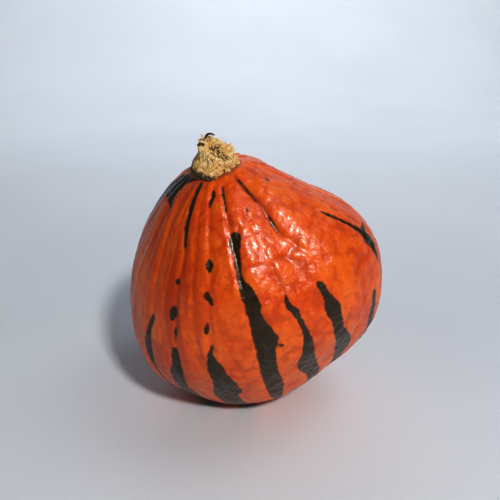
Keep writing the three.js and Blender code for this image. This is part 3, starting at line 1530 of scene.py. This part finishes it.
    def painted_shade(self, local: np.ndarray) -> np.ndarray:
        """Where painted shade darkens the stem: at its foot, mostly on the left, and in its end's middle and
        slits.

        Args:
            local: Places in the stump's own frame.

        Returns:
            Numbers from 0 for no shade to 1 and more for dark.
        """
        across, up = local[:, 0], local[:, 2]
        left = 1.4 * smooth_step(-across, -2.0 * MM, 9.0 * MM) * smooth_step(up, 1.0 * MM, -4.0 * MM)
        foot = 0.6 * smooth_step(up, -1.0 * MM, -4.5 * MM)
        middle = np.hypot(across, local[:, 1] - 4.0 * MM) / (6.0 * MM)
        above = smooth_step(up, 2.0 * MM, 5.0 * MM)
        return left + foot + (0.3 * np.exp(-middle * middle) + 0.8 * self.slits(local)) * above

    def dress(self, piece: bpy.types.Object) -> None:
        """Gives the piece its finish and its place in the frame.

        Args:
            piece: The modelled piece.
        """
        select_only(piece)
        bpy.ops.object.shade_smooth()
        piece.data.materials.append(self.finish.material())
        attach(piece, "root")
        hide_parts("stem")


@dataclass(frozen=True)
class Strand:
    """One dry fibre, by points in the stump's own frame and a thickness, in millimetres.

    Its shades at its root and its tip run from 0 for dark brown to 1 for pale straw.
    """

    path: tuple[Triple, ...]
    thick: float
    root_shade: float = 0.9
    tip_shade: float = 0.3


TUFT = (
    Strand(((-7.2, 4.0, 10.8), (-7.6, 4.0, 14.8), (-6.2, 3.8, 17.6), (-3.0, 3.6, 18.2), (-1.6, 3.5, 16.8)),
           1.20, 0.5, -0.3),
    Strand(((-6.2, 3.4, 10.8), (-5.0, 3.0, 13.6), (-4.4, 2.6, 15.4), (-5.2, 2.4, 16.8)), 1.35, 0.9, 0.1),
    Strand(((-7.4, 3.0, 10.8), (-9.0, 3.0, 13.2), (-10.4, 3.0, 14.2), (-11.6, 3.0, 14.4)), 0.95, 0.8, -0.3),
    Strand(((-9.0, -1.6, 12.2), (-10.4, -2.0, 13.6), (-11.6, -2.2, 13.6), (-12.4, -2.2, 12.6)),
           1.90, -0.1, -0.5),
    Strand(((-7.2, 4.6, 11.0), (-8.6, 5.0, 14.4), (-9.4, 5.0, 16.4), (-11.0, 5.0, 17.4)), 0.65, 1.0, 0.6),
    Strand(((-5.4, 5.0, 10.6), (-5.2, 5.4, 13.8), (-6.6, 5.5, 16.0)), 0.60, 1.0, 0.4),
    Strand(((-8.2, 1.2, 10.4), (-9.2, 0.4, 12.6), (-8.8, 0.0, 14.2)), 0.70, 1.1, 0.8),
    Strand(((-4.4, 5.8, 10.0), (-3.8, 6.2, 12.4), (-2.4, 6.4, 13.6)), 0.60),
    Strand(((-6.6, 2.6, 10.6), (-7.6, 2.2, 13.0), (-7.0, 2.0, 15.0), (-5.4, 2.0, 15.4)), 0.80, 1.1, 0.9),
)


@dataclass
class StemFibres:
    """The dry fibres of the stem: a tuft, bristles along its rim, and strands on its end and its sides.

    Sizes are in millimetres, in the stump's own frame.
    """

    stem: CorkStem
    seed: int = 3
    bristles: int = 34
    wisps: int = 26
    rim_strands: int = 20
    face_strands: int = 34
    flank_strands: int = 44
    rim_radius: float = 11.3
    reach: float = 40.0
    drop_height: float = 4.0
    taper: float = 0.65
    painted_shade_share: float = 0.12

    def build(self, stump: bpy.types.Object) -> bpy.types.Object:
        """Models and dresses the fibres.

        Args:
            stump: The finished stem, which the fibres lie on.

        Returns:
            The finished piece.
        """
        draw = random.Random(self.seed)
        surface = BVHTree.FromObject(stump, bpy.context.evaluated_depsgraph_get())
        strands = list(TUFT) + [self.bristle(draw, i) for i in range(self.bristles)]
        strands += [self.wisp(draw) for _ in range(self.wisps)]
        strands += [self.rim_strand(draw, surface) for _ in range(self.rim_strands)]
        strands += [self.face_strand(draw, surface) for _ in range(self.face_strands)]
        strands += [self.flank_strand(draw, i, surface) for i in range(self.flank_strands)]
        # Dark fibres in the front slits are painted shadows of the slits
        strands += [self.slit_shadow(angle, surface) for angle in self.stem.slit_angles]
        pieces = [self.tube(strand) for strand in strands]
        bpy.ops.object.select_all(action="DESELECT")
        for piece in pieces:
            piece.select_set(True)
        piece = pieces[0]
        bpy.context.view_layer.objects.active = piece
        bpy.ops.object.join()
        piece.name = "stem_fibres"
        select_only(piece)
        bpy.ops.object.shade_smooth()
        piece.data.materials.append(self.stem.finish.material())
        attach(piece, "root")
        return piece

    def world(self, place: Triple) -> Vector:
        """Moves a place from the stump's own frame to the scene.

        Args:
            place: The place, in millimetres.

        Returns:
            The place in the scene.
        """
        return self.stem.seat() + self.stem.turn() @ (Vector(place) * MM)

    def drop(self, surface: BVHTree, place: Triple, way: Triple) -> Triple:
        """Throws a place onto the stem.

        Args:
            surface: The stem's surface.
            place: The place, in the stump's own frame, in millimetres.
            way: The direction of the throw, in the same frame.

        Returns:
            Where it lands, or the place itself if it misses.
        """
        hit = surface.ray_cast(self.world(place), self.stem.turn() @ Vector(way).normalized())[0]
        if hit is None:
            return place
        return tuple((self.stem.turn().transposed() @ (hit - self.stem.seat())) / MM)

    def on_face(self, surface: BVHTree, x: float, y: float) -> Triple:
        """Drops a place onto the torn end.

        Args:
            surface: The stem's surface.
            x: The place's first coordinate in the stump's own frame.
            y: Its second coordinate.

        Returns:
            Where it lands.
        """
        return self.drop(surface, (x, y, self.rim_height(x, y) + self.drop_height), (0.0, 0.0, -1.0))

    def rim_height(self, x: float, y: float) -> float:
        """Height of the slanted end.

        Args:
            x: First coordinate in the stump's own frame.
            y: Second coordinate.

        Returns:
            Millimetres above the foot.
        """
        cut = self.stem.face_normal
        return self.stem.face_height / MM - (cut[0] * x + cut[1] * y) / cut[2]

    def bristle(self, draw: random.Random, index: int) -> Strand:
        """One short bristle at the rim.

        Args:
            draw: The source of chance.
            index: Its number, which sets its place along the rim.

        Returns:
            The fibre.
        """
        turn = 2.0 * math.pi * (index + draw.uniform(-0.4, 0.4)) / self.bristles
        out = self.rim_radius * draw.uniform(0.72, 1.0)
        x, y = out * math.cos(turn), out * math.sin(turn)
        z = self.rim_height(x, y)
        long = draw.uniform(1.0, 2.6)
        lean = draw.uniform(-0.3, 0.9)
        tip = (x + lean * long * math.cos(turn), y + lean * long * math.sin(turn), z + long)
        bend = (x + 0.3 * lean * math.cos(turn), y + 0.3 * lean * math.sin(turn), z + 0.5 * long)
        return Strand(((x, y, z - 1.2), bend, tip), draw.uniform(0.3, 0.5))

    def wisp(self, draw: random.Random) -> Strand:
        """One thin fibre that curls out from the right or the back of the rim.

        Args:
            draw: The source of chance.

        Returns:
            The fibre.
        """
        turn = math.radians(draw.uniform(-35.0, 150.0))
        x, y = self.rim_radius * math.cos(turn), self.rim_radius * math.sin(turn)
        z = self.rim_height(x, y)
        long = draw.uniform(2.0, 4.2)
        bent = turn + draw.uniform(-0.9, 0.9)
        half = 0.5 * long
        lift = 0.5 * draw.uniform(-0.5, 2.0)
        middle = (x + half * math.cos(turn), y + half * math.sin(turn), z + lift)
        tip = (x + long * math.cos(bent), y + long * math.sin(bent), z + draw.uniform(-1.5, 2.5))
        return Strand(((0.9 * x, 0.9 * y, z - 0.5), middle, tip), draw.uniform(0.18, 0.3), 1.1, 0.9)

    def rim_strand(self, draw: random.Random, surface: BVHTree) -> Strand:
        """One strand that lies along the rim.

        Args:
            draw: The source of chance.
            surface: The stem's surface.

        Returns:
            The fibre.
        """
        start = draw.uniform(0.0, 2.0 * math.pi)
        sweep = draw.uniform(0.4, 0.9)
        out = self.rim_radius * draw.uniform(0.84, 1.02)
        path = []
        for part in np.linspace(0.0, 1.0, 5):
            turn = start + sweep * part
            wide = out + draw.uniform(-0.5, 0.5)
            x, y = wide * math.cos(turn), wide * math.sin(turn)
            path.append(self.on_face(surface, x, y))
        return Strand(tuple(path), draw.uniform(0.4, 0.75), draw.uniform(0.5, 1.2), draw.uniform(0.3, 1.0))

    def face_strand(self, draw: random.Random, surface: BVHTree) -> Strand:
        """One strand that lies on the torn end.

        Args:
            draw: The source of chance.
            surface: The stem's surface.

        Returns:
            The fibre.
        """
        turn = draw.uniform(0.0, 2.0 * math.pi)
        out = self.rim_radius * math.sqrt(draw.uniform(0.05, 0.7))
        way = turn + draw.uniform(-0.7, 0.7)
        half = draw.uniform(1.4, 3.2)
        path = []
        for part in np.linspace(-half, half, 4):
            x = out * math.cos(turn) + part * math.cos(way) + draw.uniform(-0.4, 0.4)
            y = out * math.sin(turn) + part * math.sin(way) + draw.uniform(-0.4, 0.4)
            path.append(self.on_face(surface, x, y))
        return Strand(tuple(path), draw.uniform(0.3, 0.5), draw.uniform(0.3, 1.1), draw.uniform(0.1, 0.9))

    def slit_shadow(self, angle: float, surface: BVHTree) -> Strand:
        """One dark, short fibre laid in a slit of the front rim: a painted shadow of the slit.

        Args:
            angle: Its angle around the stump, in degrees.
            surface: The stem's surface.

        Returns:
            The fibre.
        """
        path = []
        for out in np.linspace(0.62, 1.0, 4):
            turn = (angle + 14.0 * out) * DEG
            x, y = out * self.rim_radius * math.cos(turn), out * self.rim_radius * math.sin(turn)
            path.append(self.on_face(surface, x, y))
        return Strand(tuple(path), 0.75, -0.4, -0.6)

    def flank_strand(self, draw: random.Random, index: int, surface: BVHTree) -> Strand:
        """One strand that lies down the side.

        Args:
            draw: The source of chance.
            index: Its number, which sets its place around the stem.
            surface: The stem's surface.

        Returns:
            The fibre.
        """
        turn = 2.0 * math.pi * (index + draw.uniform(-0.4, 0.4)) / self.flank_strands
        rim = self.rim_height(self.rim_radius * math.cos(turn), self.rim_radius * math.sin(turn))
        high = rim - draw.uniform(0.2, 2.5)
        low = draw.uniform(-1.0, 3.0) + min(0.0, 3.0 * math.cos(turn))
        path = []
        for height in np.linspace(high, min(low, high - 2.0), 5):
            way = turn + draw.uniform(-0.06, 0.06)
            outside = (self.reach * math.cos(way), self.reach * math.sin(way), height)
            path.append(self.drop(surface, outside, (-math.cos(way), -math.sin(way), 0.0)))
        near = [place for place in path if math.hypot(place[0], place[1]) < 0.6 * self.reach]
        return Strand(tuple(near), draw.uniform(0.4, 0.8), draw.uniform(0.5, 1.15), draw.uniform(0.2, 0.9))

    def tube(self, strand: Strand) -> bpy.types.Object:
        """Models one fibre as a thin tapered tube along a bent curve.

        Args:
            strand: The fibre.

        Returns:
            A mesh object.
        """
        bpy.ops.object.select_all(action="DESELECT")
        bpy.ops.curve.primitive_nurbs_path_add(location=(0.0, 0.0, 0.0))
        curve = bpy.context.object
        curve.data.splines.clear()
        spline = curve.data.splines.new("NURBS")
        spline.points.add(len(strand.path) - 1)
        for index, (point, place) in enumerate(zip(spline.points, strand.path)):
            point.co = (*self.world(place), 1.0)
            point.radius = 1.0 - self.taper * index / (len(strand.path) - 1)
        spline.order_u = 3
        spline.use_endpoint_u = True
        spline.resolution_u = 4
        curve.data.bevel_depth = strand.thick * MM
        curve.data.bevel_resolution = 1
        curve.data.use_fill_caps = True
        bpy.ops.object.convert(target="MESH")
        piece = bpy.context.object
        points = read_points(piece)
        away = np.linalg.norm(points - np.array(self.world(strand.path[0])), axis=1)
        shade = np.interp(away, (0.0, away.max()), (strand.root_shade, strand.tip_shade))
        write_attribute(piece, "cork_tone_and_shade", shade)
        local = (points - np.array(self.stem.seat())) @ np.array(self.stem.turn())
        # The fibres take a little of the stem's painted shade
        write_attribute(piece, "painted_shade", self.painted_shade_share * self.stem.painted_shade(local))
        return piece


@dataclass
class SoftLight:
    """One soft studio light, placed by an angle around the squash and an angle above the floor.

    The angle around starts at the front and runs by the right. A gloss-only light shows in the shine of the
    pieces and adds nothing to their plain brightness.
    """

    name: str
    azimuth: float
    elevation: float
    distance: float
    size: float
    watts: float
    colour: Triple = (1.0, 1.0, 1.0)
    aim: Triple | None = None
    gloss_only: bool = False

    def build(self, target: Vector) -> bpy.types.Object:
        """Adds the light.

        Args:
            target: The squash, which it stands around and, unless it has an aim of its own, shines at.

        Returns:
            The light.
        """
        flat = math.cos(self.elevation * DEG)
        way = Vector((math.sin(self.azimuth * DEG) * flat, -math.cos(self.azimuth * DEG) * flat,
                      math.sin(self.elevation * DEG)))
        place = target + way * self.distance
        back = place - Vector(self.aim or target)
        turn = back.to_track_quat("Z", "Y").to_euler()
        bpy.ops.object.light_add(type="AREA", location=place, rotation=turn)
        light = bpy.context.object
        light.name = self.name
        light.data.size = self.size
        light.data.energy = self.watts
        light.data.color = self.colour
        light.visible_diffuse = not self.gloss_only
        return light


@dataclass
class Studio:
    """A pale floor that curves up into a backdrop, soft lights and a pale sky."""

    target: Vector
    floor_size: float = 4.4
    floor_spread: float = 6.0
    floor_drop: float = 0.1 * MM
    wall_height: float = 2.4
    wall_bend: float = 1.0
    sky: Colour = (0.80, 0.86, 0.95, 1.0)
    sky_strength: float = 0.11
    gamma: float = 0.75
    finish: FloorFinish = field(default_factory=FloorFinish)

    def build(self) -> None:
        """Adds the floor, the lights and the sky."""
        self.floor()
        lights = (
            SoftLight("key_light", azimuth=22, elevation=41, distance=2.2, size=0.22, watts=32,
                      colour=(1.0, 0.97, 0.93)),
            SoftLight("gloss_light", azimuth=34, elevation=47, distance=2.2, size=0.6, watts=21,
                      gloss_only=True),
            SoftLight("top_light", azimuth=100, elevation=62, distance=1.8, size=0.9, watts=5.0),
            SoftLight("left_fill", azimuth=-75, elevation=35, distance=2.2, size=1.6, watts=0.8),
            SoftLight("back_wash", azimuth=180, elevation=62, distance=1.9, size=1.4, watts=24,
                      aim=(0.0, 2.2, 1.2)),
        )
        for light in lights:
            light.build(self.target)
        world = bpy.data.worlds.new("pale_sky")
        world.use_nodes = True
        background = world.node_tree.nodes["Background"]
        background.inputs["Color"].default_value = self.sky
        background.inputs["Strength"].default_value = self.sky_strength
        bpy.context.scene.world = world
        bpy.context.scene.view_settings.view_transform = "Standard"
        bpy.context.scene.view_settings.gamma = self.gamma

    def floor(self) -> bpy.types.Object:
        """Models the floor: a plane, spread to the sides and the front, with its far edge bent up.

        Returns:
            The floor.
        """
        bpy.ops.object.select_all(action="DESELECT")
        bpy.ops.mesh.primitive_plane_add(size=self.floor_size, location=(0.0, 0.0, -self.floor_drop))
        floor = bpy.context.object
        floor.name = "pale_floor"
        bpy.ops.object.transform_apply(location=True)
        points = read_points(floor)
        points[:, 0] += self.floor_spread * np.sign(points[:, 0])
        points[:, 1] += np.minimum(self.floor_spread * np.sign(points[:, 1]), 0.0)
        write_points(floor, points)
        behind = [vertex.co.y > 0.0 for vertex in floor.data.vertices]
        for vertex in floor.data.vertices:
            vertex.select = behind[vertex.index]
        for edge in floor.data.edges:
            edge.select = all(behind[index] for index in edge.vertices)
        for face in floor.data.polygons:
            face.select = False
        bpy.ops.object.mode_set(mode="EDIT")
        bpy.ops.mesh.select_mode(type="EDGE")
        bpy.ops.mesh.extrude_region_move(TRANSFORM_OT_translate={"value": (0.0, 0.0, self.wall_height)})
        bpy.ops.object.mode_set(mode="OBJECT")
        apply_modifier(floor, "BEVEL", width=self.wall_bend, segments=24, limit_method="ANGLE")
        select_only(floor)
        bpy.ops.object.shade_smooth()
        floor.data.materials.append(self.finish.material())
        return floor


def corners(box: tuple[Vector, Vector]) -> list[list[float]]:
    """Turns a box into plain lists.

    Args:
        box: The lowest and the highest corner.

    Returns:
        The same corners as lists of numbers.
    """
    return [list(corner) for corner in box]


def main() -> None:
    """Builds the squash and its studio."""
    logging.basicConfig(level=logging.INFO, format="%(name)s: %(message)s")
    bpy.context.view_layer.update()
    axes = FruitAxes()
    view = PhotoView()
    view.make_camera(axes)
    stem = CorkStem(axes)
    stump = stem.build()
    pieces = [
        Fruit(axes, MarkPattern(view, axes)).build(),
        stump,
        StemFibres(stem).build(stump),
    ]
    for piece in pieces:
        LOG.info("%s: %d faces", piece.name, len(piece.data.polygons))
    Studio(Vector(axes.heart)).build()


if __name__ == "__main__":
    main()
